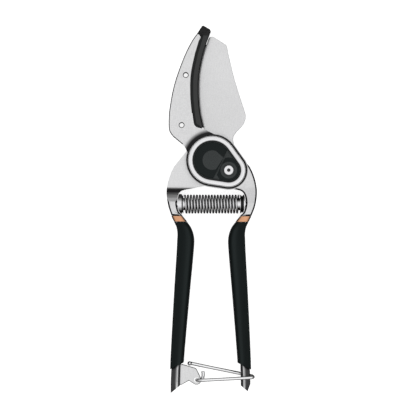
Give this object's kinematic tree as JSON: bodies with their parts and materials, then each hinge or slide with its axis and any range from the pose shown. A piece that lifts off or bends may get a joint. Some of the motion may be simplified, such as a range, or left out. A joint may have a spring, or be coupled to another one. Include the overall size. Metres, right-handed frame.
{
  "type": "pruning shears",
  "caption": "Anvil pruning shears: a flat blade closing on a soft strip in a curved jaw, two sleeved handles, a coil spring between them and a wire catch at their ends.",
  "frame": {"origin": "on the pivot's axis, at the underside of the pivot bolt's head, which is the level that the shears lie on", "axes": "+Y towards the jaw tips, +X to the right seen from the front, +Z out of the front face"},
  "size_m": [0.0526, 0.2138, 0.0158],
  "materials": {
    "brushed_steel": "brushed along the length",
    "polished_steel": "polished",
    "spring_steel": "bright drawn wire",
    "copper": "satin copper",
    "bronze": "plain bearing bronze",
    "black_grip": "soft satin dipped sleeve",
    "black_nylon": "fine moulded texture"
  },
  "bodies": {
    "anvil_side": {"anvil_lever": "brushed_steel", "anvil_strip": "black_nylon", "pivot_bolt": "polished_steel", "pivot_washer": "bronze", "wave_washer": "spring_steel", "adjusting_nut": "polished_steel", "cover_bezel": "polished_steel", "pivot_cover": "black_nylon", "cover_screw": "polished_steel", "return_spring": "spring_steel", "right_spring_seat": "polished_steel", "right_collar": "copper", "right_grip": "black_grip"},
    "blade_side": {"blade_lever": "brushed_steel", "pivot_bush": "bronze", "left_spring_seat": "polished_steel", "left_collar": "copper", "left_grip": "black_grip", "catch_plate": "brushed_steel"},
    "catch": {"catch_wire": "polished_steel"}
  },
  "joints": [
    {"name": "main_pivot", "type": "hinge", "parent": "anvil_side", "child": "blade_side", "pos_m": [0, 0, 0.00615], "axis": [0, 0, -1], "range_deg": [0, 25], "deforming": ["return_spring"]},
    {"name": "catch_pivot", "type": "hinge", "parent": "blade_side", "child": "catch", "pos_m": [-0.0091, -0.1279, 0.008], "axis": [0, 0, -1], "range_deg": [0, 75]}
  ]
}
